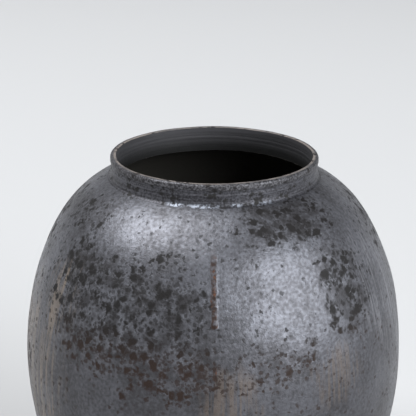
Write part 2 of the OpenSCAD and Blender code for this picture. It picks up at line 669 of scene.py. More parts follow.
class Effects:
    """The surface effects that several finishes share, each built once as a node group."""

    def __init__(self) -> None:
        """Builds the groups."""
        self.around = self._around()
        self.spots = self._spots()
        self.streaks = self._streaks()
        self.lines = self._lines()
        self.patch = self._patch()
        self.run = self._run()
        self.grain = self._grain()

    @staticmethod
    def _around() -> bpy.types.NodeTree:
        """Gives a place's direction from the jar's axis, its radius and its height.

        Returns:
            The group.
        """
        graph, takes, finish = new_group(
            "around_axis",
            {"Place": "Vector"},
            {"Way": "Vector", "Radius": "Float", "Height": "Float"},
        )
        x, y, z = graph.split(takes["Place"])
        flat = graph.join(x, y, 0.0)
        way = graph.vector("NORMALIZE", flat)
        radius = graph.vector("LENGTH", flat, out="Value")
        return finish({"Way": way, "Radius": radius, "Height": z})

    @staticmethod
    def _spots() -> bpy.types.NodeTree:
        """Scatters ragged round spots; cover says how many of the cells hold one.

        Returns:
            The group.
        """
        graph, takes, finish = new_group(
            "soot_spots",
            {"Place": "Vector", "Grain": "Float", "Cover": "Float", "Ragged": "Float"},
            {"Mask": "Float"},
        )
        scale = graph.sum("DIVIDE", 1.0, takes["Grain"])
        cell = graph.put("VectorMath", {0: takes["Place"], 3: scale}, operation="SCALE")
        frayed = graph.put("TexNoise", {"Vector": cell, "Scale": 1.7, "Detail": 3.0}, "Color")
        shift = graph.vector("SUBTRACT", frayed, (0.5, 0.5, 0.5))
        shift = graph.put("VectorMath", {0: shift, 3: takes["Ragged"]}, operation="SCALE")
        cell = graph.vector("ADD", cell, shift)
        cells = graph.put("TexVoronoi", {"Vector": cell, "Scale": 1.0, "Randomness": 1.0}).node
        pick, girth, _ = graph.split(cells.outputs["Color"])
        held = graph.ramp(graph.sum("SUBTRACT", takes["Cover"], pick), -0.02, 0.1)
        girth = graph.ramp(girth, 0.0, 1.0, 0.45, 0.85)
        inner = graph.sum("MULTIPLY", girth, 0.5)
        disc = graph.ramp(cells.outputs["Distance"], inner, girth, 1.0, 0.0)
        return finish({"Mask": graph.sum("MULTIPLY", held, disc)})

    def _streaks(self) -> bpy.types.NodeTree:
        """Draws streaks down the wall, as a burnishing stone leaves.

        Returns:
            The group.
        """
        graph, takes, finish = new_group(
            "burnish_streaks", {"Place": "Vector", "Width": "Float"}, {"Value": "Float"}
        )
        around = graph.put("Group", {"Place": takes["Place"]}, "Way", node_tree=self.around).node
        ring = graph.put("VectorMath", {0: around.outputs["Way"], 3: 0.15}, operation="SCALE")
        x, y, _ = graph.split(ring)
        rise = graph.sum("MULTIPLY", around.outputs["Height"], 0.05)
        drawn = graph.join(x, y, rise)
        sockets = {"Vector": drawn, "Scale": graph.sum("DIVIDE", 1.0, takes["Width"]), "Detail": 3.0}
        return finish({"Value": graph.put("TexNoise", sockets)})

    def _lines(self) -> bpy.types.NodeTree:
        """Draws fine level lines round the jar, as a turning tool leaves.

        Returns:
            The group.
        """
        graph, takes, finish = new_group(
            "turning_lines", {"Place": "Vector", "Pitch": "Float"}, {"Value": "Float"}
        )
        around = graph.put("Group", {"Place": takes["Place"]}, "Way", node_tree=self.around).node
        fine = graph.sum("DIVIDE", 0.5, takes["Pitch"])
        slow = graph.put("VectorMath", {0: around.outputs["Way"], 3: 1.2}, operation="SCALE")
        x, y, _ = graph.split(slow)
        rise = graph.sum("MULTIPLY", around.outputs["Height"], fine)
        width = graph.sum("MULTIPLY", around.outputs["Radius"], fine)
        sockets = {"Vector": graph.join(x, y, rise), "W": width, "Scale": 1.0, "Detail": 3.0}
        return finish({"Value": graph.put("TexNoise", sockets, noise_dimensions="4D")})

    @staticmethod
    def _patch() -> bpy.types.NodeTree:
        """Marks a soft-edged patch about a place.

        Returns:
            The group.
        """
        graph, takes, finish = new_group(
            "clay_patch",
            {"Place": "Vector", "Middle": "Vector", "Reach": "Vector", "Fray": "Float"},
            {"Mask": "Float"},
        )
        away = graph.vector("SUBTRACT", takes["Place"], takes["Middle"])
        away = graph.vector("DIVIDE", away, takes["Reach"])
        away = graph.vector("LENGTH", away, out="Value")
        cloud = graph.noise(takes["Place"], 16 * MM, 3)
        fray = graph.sum("MULTIPLY", graph.sum("SUBTRACT", cloud, 0.5), takes["Fray"])
        return finish({"Mask": graph.ramp(graph.sum("ADD", away, fray), 0.45, 1.15, 1.0, 0.0)})

    @staticmethod
    def _run() -> bpy.types.NodeTree:
        """Marks a run down the front of the jar, ending in a bead.

        Returns:
            The group.
        """
        graph, takes, finish = new_group(
            "front_run",
            {"Place": "Vector", "Side": "Float", "Top": "Float", "End": "Float", "Width": "Float"},
            {"Mask": "Float"},
        )
        x, y, z = graph.split(takes["Place"])
        waver = graph.noise(takes["Place"], 14 * MM, 3)
        waver = graph.sum("MULTIPLY", graph.sum("SUBTRACT", waver, 0.5), takes["Width"])
        side = graph.sum("ADD", graph.sum("SUBTRACT", x, takes["Side"]), waver)
        side = graph.sum("DIVIDE", graph.sum("ABSOLUTE", side), takes["Width"])
        trail = graph.ramp(side, 0.3, 0.55, 1.0, 0.0)
        above = graph.ramp(graph.sum("SUBTRACT", z, takes["End"]), 0.0, 2 * MM)
        below = graph.ramp(graph.sum("SUBTRACT", takes["Top"], z), 0.0, 12 * MM)
        front = graph.sum("LESS_THAN", y, 0.0)
        trail = graph.sum("MULTIPLY", graph.sum("MULTIPLY", trail, above), below)
        drop = graph.sum("DIVIDE", graph.sum("SUBTRACT", z, takes["End"]), takes["Width"])
        bead = graph.vector("LENGTH", graph.join(side, 0.0, drop), out="Value")
        bead = graph.ramp(bead, 0.5, 0.75, 1.0, 0.0)
        return finish({"Mask": graph.sum("MULTIPLY", graph.sum("MAXIMUM", trail, bead), front)})

    @staticmethod
    def _grain() -> bpy.types.NodeTree:
        """Gives the fine tooth of the clay and its small pits.

        Returns:
            The group.
        """
        graph, takes, finish = new_group(
            "clay_grain", {"Place": "Vector", "Grain": "Float"}, {"Tooth": "Float", "Pits": "Float"}
        )
        scale = graph.sum("DIVIDE", 1.0, takes["Grain"])
        cell = graph.put("VectorMath", {0: takes["Place"], 3: scale}, operation="SCALE")
        tooth = graph.put("TexNoise", {"Vector": cell, "Scale": 1.0, "Detail": 4.0, "Roughness": 0.6})
        pits = graph.put("TexVoronoi", {"Vector": cell, "Scale": 0.45}, "Distance")
        return finish({"Tooth": tooth, "Pits": graph.ramp(pits, 0.08, 0.3, 1.0, 0.0)})


# ---------------------------------------------------------------- finishes


def place_on(turn: float, height: float) -> Vector:
    """Gives a place on the jar's outer face.

    Args:
        turn: Degrees round the jar from its front, counted towards its right.
        height: Height above the ground.

    Returns:
        The place.
    """
    shape = OUTLINE
    arc = shape.shoulder
    if height > shape.shoulder.at(shape.shoulder_slope).y:
        arc = shape.crown
    if height < shape.shoulder.at(shape.belly_slope).y:
        arc = shape.belly
    radius = arc.at(arc.slope_at(height)).x
    angle = math.radians(turn)
    return Vector((radius * math.sin(angle), -radius * math.cos(angle), height))


@dataclass(frozen=True)
class Zone:
    """A part of the wall where the smoke or the stone has left more of a mark, or where a painted
    highlight lies along the collar's crease.

    Its turn is in degrees from the front towards the right, its lengths in millimetres.
    """

    turn: float
    height: float
    wide: float
    high: float
    strength: float = 1.0
    fray: float = 1.4

    def mask(self, graph: Graph, effects: Effects, place: Socket) -> Socket:
        """Marks the zone.

        Args:
            graph: The material's nodes.
            effects: The shared effects.
            place: The place on the jar.

        Returns:
            Its mask, from 0 to its strength.
        """
        sockets = {
            "Place": place,
            "Middle": place_on(self.turn, self.height * MM),
            "Reach": Vector((self.wide, self.wide, self.high)) * MM,
            "Fray": self.fray,
        }
        patch = graph.use(effects.patch, sockets, "Mask")
        return graph.sum("MULTIPLY", patch, self.strength)


def highest(graph: Graph, masks: Sequence[Socket]) -> Socket:
    """Joins masks, keeping the strongest at each place.

    Args:
        graph: The material's nodes.
        masks: The masks, one or more.

    Returns:
        The joined mask.
    """
    joined = masks[0]
    for mask in masks[1:]:
        joined = graph.sum("MAXIMUM", joined, mask)
    return joined


def new_material(name: str) -> tuple[bpy.types.Material, Graph, Socket]:
    """Starts a material.

    Args:
        name: Its name.

    Returns:
        The material, its nodes and the place on the jar.
    """
    material = bpy.data.materials.new(name)
    material.use_nodes = True
    graph = Graph(material.node_tree)
    return material, graph, graph.put("TexCoord", out="Object")


def surface(graph: Graph, sockets: Mapping[str, Any], height: Socket) -> None:
    """Ends a material with its shader.

    Args:
        graph: The material's nodes.
        sockets: The shader's inputs.
        height: Height of the fine relief, in millimetres.
    """
    bump = graph.put("Bump", {"Strength": 1.0, "Distance": MM, "Height": height}, "Normal")
    shader = graph.put("BsdfPrincipled", {**sockets, "Normal": bump})
    graph.put("OutputMaterial", {"Surface": shader})


@dataclass(frozen=True)
class BurnishedRelief:
    """Heights of the burnished wall's fine relief, in millimetres."""

    tooth: float = 0.24
    fine: float = 0.06
    lines: float = 0.15
    streaks: float = 0.07
    soot: float = -0.12
    pits: float = -0.10
    lumps: float = 0.35


@dataclass(frozen=True)
class Trail:
    """A run down the front: its place sideways, its two heights and its width."""

    side: float
    top: float
    end: float
    width: float

    def mask(self, graph: Graph, effects: Effects, place: Socket) -> Socket:
        """Marks the run.

        Args:
            graph: The material's nodes.
            effects: The shared effects.
            place: The place on the jar.

        Returns:
            Its mask.
        """
        sockets = {"Place": place, "Side": self.side, "Top": self.top}
        sockets |= {"End": self.end, "Width": self.width}
        return graph.use(effects.run, sockets, "Mask")


@dataclass(frozen=True)
class BurnishedBlack:
    """Smoked clay rubbed with a stone: a grey metallic film with soot spots and streaks."""

    deep: tuple[float, ...] = (0.058, 0.057, 0.062, 1)
    bright: tuple[float, ...] = (0.148, 0.151, 0.170, 1)
    shade: tuple[float, ...] = (0.036, 0.034, 0.036, 1)
    earth: tuple[float, ...] = (0.16, 0.125, 0.10, 1)
    soot: tuple[float, ...] = (0.006, 0.005, 0.005, 1)
    umber: tuple[float, ...] = (0.022, 0.010, 0.006, 1)
    rust: tuple[float, ...] = (0.085, 0.036, 0.019, 1)
    cream: tuple[float, ...] = (0.24, 0.195, 0.155, 1)
    ash: tuple[float, ...] = (0.26, 0.26, 0.28, 1)
    gloss: float = 0.26
    metal: float = 0.62
    soot_rough: float = 0.6
    # How much, and between which heights, the film is darkened towards the bottom.
    low_darkening: float = 0.42
    darkening_heights: tuple[float, float] = (195 * MM, 262 * MM)
    umber_share: float = 0.7
    umber_heights: tuple[float, float] = (225 * MM, 262 * MM)
    streak_width: float = 2.6 * MM
    band_width: float = 9 * MM
    cloud_grain: float = 34 * MM
    mottle_grain: float = 2.6 * MM
    smoke_grain: float = 11 * MM
    pit_grain: float = 1.4 * MM
    pit_patches: float = 24 * MM
    # How far the pits darken the colour: painted shade in the pits, besides their bump.
    pit_painted_shade: float = 0.7
    tooth_grain: float = 1.3 * MM
    fine_grain: float = 0.5 * MM
    line_pitch: float = 1.5 * MM
    lump_grain: float = 11 * MM
    wide_spot: float = 7.0 * MM
    small_spot: float = 3.2 * MM
    ragged: float = 1.2
    relief: BurnishedRelief = BurnishedRelief()
    long_run: Trail = Trail(0.0, 316 * MM, 264 * MM, 4.6 * MM)
    short_run: Trail = Trail(1 * MM, 240 * MM, 225 * MM, 3.4 * MM)
    run_wear: float = 3 * MM
    speck_grain: float = 2.6 * MM
    sooty: tuple[Zone, ...] = (
        Zone(-30, 262, 84, 48, 0.8),
        Zone(-49, 286, 34, 24, 0.95),
        Zone(-30, 275, 34, 22, 0.95),
        Zone(-10, 274, 26, 20, 0.9),
        Zone(-31, 245, 36, 22, 0.9),
        Zone(-12, 230, 60, 30, 0.75),
        Zone(32, 326, 50, 15, 0.9),
        Zone(-60, 318, 30, 20, 0.5),
        Zone(46, 278, 26, 54, 0.78),
        Zone(18, 228, 44, 22, 0.45),
        Zone(150, 285, 110, 46, 0.8),
        Zone(210, 240, 80, 52, 0.75),
        Zone(100, 300, 60, 36, 0.7),
        Zone(-110, 300, 80, 36, 0.75),
        Zone(-95, 200, 80, 60, 0.5),
        Zone(120, 170, 110, 60, 0.5),
        Zone(10, 120, 120, 70, 0.35),
    )
    warm_patches: tuple[Zone, ...] = (
        Zone(5, 206, 26, 30, 0.5),
        Zone(38, 212, 28, 28, 0.45),
        Zone(-60, 120, 60, 60, 0.4),
        Zone(170, 140, 70, 60, 0.4),
    )
    pale_sides: tuple[Zone, ...] = (
        Zone(-56, 258, 26, 44, 0.8),
        Zone(-70, 196, 62, 66, 0.75),
        Zone(170, 250, 50, 60, 0.5),
    )
    bright_sides: tuple[Zone, ...] = (
        Zone(66, 262, 40, 70, 0.5),
        Zone(115, 230, 60, 80, 0.35),
    )

    def make(self, effects: Effects) -> bpy.types.Material:
        """Builds the material.

        Args:
            effects: The shared effects.

        Returns:
            The material.
        """
        material, graph, place = new_material("burnished_black")
        cover = self._zones(graph, effects, place, self.sooty)
        soot = self._soot(graph, effects, place, cover)
        streak = graph.use(effects.streaks, {"Place": place, "Width": self.streak_width}, "Value")
        broad = graph.use(effects.streaks, {"Place": place, "Width": self.band_width}, "Value")
        cloud = graph.noise(place, self.cloud_grain, 3)
        mottle = graph.noise(place, self.mottle_grain, 6)
        film = graph.weigh((cloud, 0.35), (broad, 0.15), (mottle, 0.5))
        colour = graph.blend(graph.ramp(film, 0.34, 0.66), self.deep, self.bright)
        wisps = graph.ramp(graph.noise(place, self.smoke_grain, 5), 0.42, 0.62)
        cloudy = graph.sum("MULTIPLY", cover, wisps)
        colour = graph.blend(cloudy, colour, self.shade)
        _, _, rise = graph.split(place)
        # Darker towards the bottom: below these heights the colour is blended towards the dark tone.
        lowered = graph.ramp(rise, *self.darkening_heights, self.low_darkening, 0.0)
        colour = graph.blend(lowered, colour, self.shade)
        warm = self._zones(graph, effects, place, self.warm_patches)
        warm = graph.sum("MULTIPLY", warm, graph.ramp(streak, 0.4, 0.6))
        colour = graph.blend(warm, colour, self.earth)
        cream = self._zones(graph, effects, place, self.pale_sides)
        drawn = graph.sum("MULTIPLY", graph.sum("ADD", streak, broad), 0.5)
        cream = graph.sum("MULTIPLY", cream, graph.ramp(drawn, 0.45, 0.62))
        colour = graph.blend(cream, colour, self.cream)
        ash = self._zones(graph, effects, place, self.bright_sides)
        ash = graph.sum("MULTIPLY", ash, graph.ramp(streak, 0.48, 0.62))
        colour = graph.blend(ash, colour, self.ash)
        pits = graph.use(effects.grain, {"Place": place, "Grain": self.pit_grain}, "Pits")
        open_pits = graph.ramp(graph.noise(place, self.pit_patches, 3), 0.42, 0.6, 0.15, 0.85)
        pits = graph.sum("MULTIPLY", pits, open_pits)
        # Painted shade: the pits darken the colour towards the dark tone, besides being pressed into
        # the bump.
        colour = graph.blend(graph.sum("MULTIPLY", pits, self.pit_painted_shade), colour, self.shade)
        browned = graph.ramp(rise, *self.umber_heights, self.umber_share, 0.0)
        colour = graph.blend(soot, colour, graph.blend(browned, self.soot, self.umber))
        run, rust = self._runs(graph, effects, place)
        colour = graph.blend(run, colour, self.umber)
        colour = graph.blend(rust, colour, self.rust)
        marked = highest(graph, [soot, run])
        tooth = graph.use(effects.grain, {"Place": place, "Grain": self.tooth_grain}, "Tooth")
        fine = graph.use(effects.grain, {"Place": place, "Grain": self.fine_grain}, "Tooth")
        dull = graph.sum("MULTIPLY", graph.ramp(tooth, 0.35, 0.7), 0.16)
        shine = graph.sum("ADD", graph.lerp(graph.ramp(film, 0.35, 0.65), 0.35, 0.28), dull)
        shine = graph.sum("ADD", shine, graph.sum("MULTIPLY", cloudy, 0.12))
        rough = graph.lerp(marked, shine, self.soot_rough)
        metal = graph.less(marked, self.metal)
        level = graph.use(effects.lines, {"Place": place, "Pitch": self.line_pitch}, "Value")
        lump = graph.noise(place, self.lump_grain, 2)
        height = graph.weigh(
            (tooth, self.relief.tooth),
            (fine, self.relief.fine),
            (level, self.relief.lines),
            (streak, self.relief.streaks),
            (soot, self.relief.soot),
            (pits, self.relief.pits),
            (lump, self.relief.lumps),
        )
        sockets = {"Base Color": colour, "Roughness": rough, "Metallic": metal}
        sockets["Specular IOR Level"] = self.gloss
        surface(graph, sockets, height)
        return material

    @staticmethod
    def _zones(
        graph: Graph, effects: Effects, place: Socket, zones: Sequence[Zone]
    ) -> Socket:
        """Joins the masks of several zones."""
        return highest(graph, [zone.mask(graph, effects, place) for zone in zones])

    def _soot(self, graph: Graph, effects: Effects, place: Socket, cover: Socket) -> Socket:
        """Scatters soot spots of two sizes where the zones hold them, and a few elsewhere.

        Args:
            graph: The material's nodes.
            effects: The shared effects.
            place: The place on the jar.
            cover: The mask of the sooty zones.

        Returns:
            The mask of the spots.
        """
        wide = {"Place": place, "Grain": self.wide_spot, "Ragged": self.ragged}
        wide["Cover"] = graph.sum("ADD", cover, -0.02)
        small = {"Place": place, "Grain": self.small_spot, "Ragged": self.ragged}
        small["Cover"] = graph.sum("ADD", graph.sum("MULTIPLY", cover, 0.85), 0.12)
        large = graph.use(effects.spots, wide, "Mask")
        fine = graph.use(effects.spots, small, "Mask")
        return graph.sum("MAXIMUM", large, graph.sum("MULTIPLY", fine, 0.8))

    def _runs(self, graph: Graph, effects: Effects, place: Socket) -> tuple[Socket, Socket]:
        """Marks the run of slip down the front and its rusty specks.

        Args:
            graph: The material's nodes.
            effects: The shared effects.
            place: The place on the jar.

        Returns:
            The mask of the run, and that of its specks.
        """
        worn = graph.ramp(graph.noise(place, self.run_wear, 4), 0.34, 0.56, 0.35, 0.95)
        run = graph.sum("MULTIPLY", self.long_run.mask(graph, effects, place), worn)
        drip = graph.sum("MULTIPLY", self.short_run.mask(graph, effects, place), worn)
        both = graph.sum("MAXIMUM", run, drip)
        specks = {"Place": place, "Grain": self.speck_grain, "Cover": 0.3, "Ragged": 0.7}
        specks = graph.use(effects.spots, specks, "Mask")
        return both, graph.sum("MULTIPLY", specks, both)


@dataclass(frozen=True)
class SmokedInside:
    """The inner face, matt with smoke, wiped level by hand, with painted shade: near black low in the
    collar's bore, fading to grey towards the rim.
    """

    deep: tuple[float, ...] = (0.050, 0.047, 0.041, 1)
    worn: tuple[float, ...] = (0.048, 0.047, 0.051, 1)
    # painted_shade is painted shade: near black, laid low in the collar's bore where the inside of
    # the jar is in shade.
    painted_shade: tuple[float, ...] = (0.006, 0.006, 0.006, 1)
    neck: float = 333 * MM
    line_pitch: float = 1.6 * MM
    tooth_grain: float = 0.9 * MM
    # Heights about the neck where the painted shade starts, and where it fades out towards the rim.
    painted_shade_start: tuple[float, float] = (-2 * MM, 0.5 * MM)
    painted_shade_fade: tuple[float, float] = (1 * MM, 17 * MM)

    def make(self, effects: Effects) -> bpy.types.Material:
        """Builds the material.

        Args:
            effects: The shared effects.

        Returns:
            The material.
        """
        material, graph, place = new_material("smoked_inside")
        lines = graph.use(effects.lines, {"Place": place, "Pitch": self.line_pitch}, "Value")
        _, _, height = graph.split(place)
        # Painted shade: from just under the neck upward, the bore is painted near black.
        collar = graph.ramp(height, *(self.neck + reach for reach in self.painted_shade_start))
        colour = graph.blend(collar, self.deep, self.painted_shade)
        # Towards the rim the painted shade fades out, giving way to the grey with its turning lines.
        above = graph.ramp(height, *(self.neck + reach for reach in self.painted_shade_fade))
        worn = graph.sum("MULTIPLY", graph.ramp(lines, 0.3, 0.7, 0.6, 1.0), above)
        colour = graph.blend(worn, colour, self.worn)
        tooth = graph.use(effects.grain, {"Place": place, "Grain": self.tooth_grain}, "Tooth")
        rough = graph.ramp(tooth, 0.2, 0.8, 0.55, 0.8)
        relief = graph.weigh((lines, 0.25), (tooth, 0.1))
        sockets = {"Base Color": colour, "Roughness": rough, "Specular IOR Level": 0.25}
        surface(graph, sockets, relief)
        return material


@dataclass(frozen=True)
class TurnedCollar:
    """The collar's outer wall, dark, with the turning tool's level lines, soot spots and a painted
    highlight of broken bluish-white dashes along the crease.
    """

    deep: tuple[float, ...] = (0.022, 0.021, 0.024, 1)
    bright: tuple[float, ...] = (0.092, 0.092, 0.104, 1)
    soot: tuple[float, ...] = (0.009, 0.008, 0.008, 1)
    # painted_glint is a painted highlight: the bluish-white of the softboxes' glints, painted along
    # the crease.
    painted_glint: tuple[float, ...] = (0.34, 0.37, 0.43, 1)
    crease: float = 338 * MM
    line_pitch: float = 0.8 * MM
    speckle_grain: float = 1.6 * MM
    spot_grain: float = 4 * MM
    spot_patches: float = 20 * MM
    tooth_grain: float = 1.1 * MM
    glint_grain: float = 2.4 * MM
    glint_fade: tuple[float, float] = (-0.6 * MM, 1.2 * MM)
    ragged: float = 1.3
    soot_rough: float = 0.65
    metal: float = 0.55
    gloss: float = 0.3
    # Where the painted highlight dashes lie along the crease: four at the front, two at the back.
    glint_zones: tuple[Zone, ...] = (
        Zone(-20, 338, 9, 8, 0.8, 0.3),
        Zone(-5, 338, 14, 8, 0.8, 0.3),
        Zone(12, 338, 6, 8, 1.0, 0.3),
        Zone(27, 338, 12, 8, 0.4, 0.3),
        Zone(140, 338, 22, 8, 0.5, 0.3),
        Zone(215, 338, 16, 8, 0.5, 0.3),
    )

    def make(self, effects: Effects) -> bpy.types.Material:
        """Builds the material.

        Args:
            effects: The shared effects.

        Returns:
            The material.
        """
        material, graph, place = new_material("turned_collar")
        lines = graph.use(effects.lines, {"Place": place, "Pitch": self.line_pitch}, "Value")
        speckle = graph.noise(place, self.speckle_grain, 4)
        film = graph.weigh((lines, 0.5), (speckle, 0.5))
        colour = graph.blend(graph.ramp(film, 0.36, 0.64), self.deep, self.bright)
        # Painted highlight: bluish-white dashes laid into the colour along the crease.
        colour = graph.blend(self._painted_glints(graph, effects, place), colour, self.painted_glint)
        spots = {"Place": place, "Grain": self.spot_grain, "Ragged": self.ragged}
        spots["Cover"] = graph.ramp(graph.noise(place, self.spot_patches), 0.4, 0.65, 0.1, 0.7)
        soot = graph.use(effects.spots, spots, "Mask")
        colour = graph.blend(soot, colour, self.soot)
        tooth = graph.use(effects.grain, {"Place": place, "Grain": self.tooth_grain}, "Tooth")
        shine = graph.ramp(tooth, 0.3, 0.7, 0.34, 0.52)
        rough = graph.lerp(soot, shine, self.soot_rough)
        metal = graph.less(soot, self.metal)
        height = graph.weigh((lines, 0.16), (tooth, 0.22))
        sockets = {"Base Color": colour, "Roughness": rough, "Metallic": metal}
        sockets["Specular IOR Level"] = self.gloss
        surface(graph, sockets, height)
        return material

    def _painted_glints(self, graph: Graph, effects: Effects, place: Socket) -> Socket:
        """Marks the painted highlight: broken bluish-white dashes along the crease, where light
        glints on its curve.

        Args:
            graph: The material's nodes.
            effects: The shared effects.
            place: The place on the jar.

        Returns:
            Their mask.
        """
        _, _, height = graph.split(place)
        low = graph.ramp(height, *(self.crease + reach for reach in self.glint_fade), 1.0, 0.0)
        where = highest(graph, [glint_zone.mask(graph, effects, place) for glint_zone in self.glint_zones])
        broken = graph.sum("MULTIPLY", low, where)
        gaps = graph.ramp(graph.noise(place, self.glint_grain, 4), 0.4, 0.58)
        return graph.sum("MULTIPLY", broken, gaps)


@dataclass(frozen=True)
class RubbedLip:
    """The lip's top, where hands have rubbed the smoke back to pale clay."""

    clay: tuple[float, ...] = (0.165, 0.143, 0.130, 1)
    smoke: tuple[float, ...] = (0.022, 0.021, 0.023, 1)
    film: tuple[float, ...] = (0.105, 0.103, 0.112, 1)
    off_centre: tuple[float, float, float] = (1.1 * MM, 0, 0)
    edge: float = 81.2 * MM
    rub_fade: tuple[float, float] = (1.3 * MM, 3.2 * MM)
    line_pitch: float = 0.9 * MM
    cloud_grain: float = 13 * MM
    speckle_grain: float = 1.6 * MM
    spot_grain: float = 4 * MM
    spot_cover: float = 0.22
    ragged: float = 1.1
    tooth_grain: float = 0.8 * MM
    metal: float = 0.5
    gloss: float = 0.35
    soot: tuple[float, ...] = (0.012, 0.010, 0.010, 1)

    def make(self, effects: Effects) -> bpy.types.Material:
        """Builds the material.

        Args:
            effects: The shared effects.

        Returns:
            The material.
        """
        material, graph, place = new_material("rubbed_lip")
        lines = graph.use(effects.lines, {"Place": place, "Pitch": self.line_pitch}, "Value")
        cloud = graph.noise(place, self.cloud_grain, 3)
        ring = graph.vector("SUBTRACT", place, self.off_centre)
        out = graph.use(effects.around, {"Place": ring}, "Radius")
        rubbed = graph.ramp(out, *(self.edge + reach for reach in self.rub_fade), 1.0, 0.0)
        patchy = graph.weigh((cloud, 0.6), (lines, 0.4))
        rubbed = graph.sum("MULTIPLY", rubbed, graph.ramp(patchy, 0.36, 0.56, 0.35, 1.0))
        speckle = graph.ramp(graph.noise(place, self.speckle_grain, 4), 0.4, 0.62)
        colour = graph.blend(speckle, self.smoke, self.film)
        colour = graph.blend(rubbed, colour, self.clay)
        spots = {"Place": place, "Grain": self.spot_grain}
        spots |= {"Cover": self.spot_cover, "Ragged": self.ragged}
        soot = graph.use(effects.spots, spots, "Mask")
        colour = graph.blend(soot, colour, self.soot)
        tooth = graph.use(effects.grain, {"Place": place, "Grain": self.tooth_grain}, "Tooth")
        rough = graph.ramp(tooth, 0.3, 0.7, 0.38, 0.56)
        relief = graph.weigh((lines, 0.12), (tooth, 0.2))
        metal = graph.less(rubbed, self.metal)
        sockets = {"Base Color": colour, "Roughness": rough, "Metallic": metal}
        sockets["Specular IOR Level"] = self.gloss
        surface(graph, sockets, relief)
        return material


@dataclass(frozen=True)
class GroundFoot:
    """The underside, where the jar has stood and been dragged: dull, gritty and paler."""

    clay: tuple[float, ...] = (0.085, 0.076, 0.070, 1)
    smoke: tuple[float, ...] = (0.038, 0.035, 0.034, 1)
    cloud_grain: float = 22 * MM
    tooth_grain: float = 1.2 * MM
    pit_grain: float = 1.6 * MM

    def make(self, effects: Effects) -> bpy.types.Material:
        """Builds the material.

        Args:
            effects: The shared effects.

        Returns:
            The material.
        """
        material, graph, place = new_material("ground_foot")
        cloud = graph.noise(place, self.cloud_grain, 4)
        grain = graph.use(effects.grain, {"Place": place, "Grain": self.tooth_grain}, "Tooth")
        pits = graph.use(effects.grain, {"Place": place, "Grain": self.pit_grain}, "Pits")
        worn = graph.weigh((cloud, 0.7), (grain, 0.3))
        colour = graph.blend(graph.ramp(worn, 0.34, 0.68), self.smoke, self.clay)
        rough = graph.ramp(grain, 0.2, 0.8, 0.7, 0.9)
        relief = graph.weigh((grain, 0.25), (pits, -0.2))
        surface(graph, {"Base Color": colour, "Roughness": rough}, relief)
        return material


class Finish(Enum):
    """The finishes of the jar."""

    OUTSIDE = BurnishedBlack()
    INSIDE = SmokedInside()
    COLLAR = TurnedCollar()
    LIP = RubbedLip()
    FOOT = GroundFoot()


class Finishes:
    """The finished materials, made once."""

    def __init__(self, effects: Effects) -> None:
        """Makes every finish."""
        self.made = {finish: finish.value.make(effects) for finish in Finish}

    def dress(self, piece: Piece, slot: str, order: Sequence[Finish]) -> None:
        """Gives a piece its finishes.

        Args:
            piece: The piece.
            slot: Name of the record's material slot; not used.
            order: The finish of each of its sides.
        """
        for finish in order:
            piece.data.materials.append(self.made[finish])


# ---------------------------------------------------------------- the jar's parts


class Side(Enum):
    """The side of the wall that a face lies on, which is also its finish's place."""

    OUTER = 0
    INNER = 1
    SEAM = 2


TURN_STEPS = 512
FINE_STEP = 1.2 * MM
SEAM_STEP = 2.0 * MM
SKIN = 0.08


def sort_sides(piece: Piece, side_of: Callable[[Vector], Side]) -> None:
    """Marks each face of a turned piece with the side that it lies on.

    Args:
        piece: The piece, before it is drifted.
        side_of: Gives the side for the middle of a face (radius, height).
    """
    for face in piece.data.polygons:
        middle = face.center
        face.material_index = side_of(Vector((middle.xy.length, middle.z))).value


def wall_side(arc: Arc) -> Callable[[Vector], Side]:
    """Gives the function that tells the sides of a coil of wall apart by depth.

    Args:
        arc: The outline's arc that the coil follows.

    Returns:
        The function.
    """

    def side_of(point: Vector) -> Side:
        """Tells the side by the depth under the outer face.

        Args:
            point: The middle of a face (radius, height).

        Returns:
            The side.
        """
        depth = arc.depth_of(point) / OUTLINE.wall
        if depth < SKIN:
            return Side.OUTER
        return Side.INNER if depth > 1 - SKIN else Side.SEAM

    return side_of


def hand_in(piece: Piece, node: str) -> None:
    """Puts a piece in its solid's place."""
    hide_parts(node)
    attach(piece, "root")


@dataclass
class Coil:
    """One coil of the wall, lapped on the coil below and inside the coil above."""

    node: str
    arc: Arc
    start: float
    end: float
    ridges: int = 3
    ridge_height: float = 0.4 * MM
    ridge_reach: float = 4.8 * MM

    def build(self) -> Piece:
        """Draws and turns the coil.

        Returns:
            The piece.
        """
        wall, lap = OUTLINE.wall, OUTLINE.lap
        inner_start = self.arc.seam_inside(self.start, wall, lap)
        inner_end = self.arc.seam_inside(self.end, wall, lap)
        section = Section(self.node, self.arc.at(self.start))
        section.arc(self.arc.centre, self.end - self.start, FINE_STEP)
        section.line(self.arc.at(inner_end, wall), SEAM_STEP)
        section.arc(self.arc.centre, inner_start - inner_end, FINE_STEP)
        section.close(SEAM_STEP)
        for count in range(self.ridges):
            slope = inner_start + (inner_end - inner_start) * (count + 0.5) / self.ridges
            top = self.arc.at(slope, wall)
            section.groove(top, -aim(slope), self.ridge_height, self.ridge_reach)
        piece = section.turn(TURN_STEPS)
        sort_sides(piece, wall_side(self.arc))
        return piece


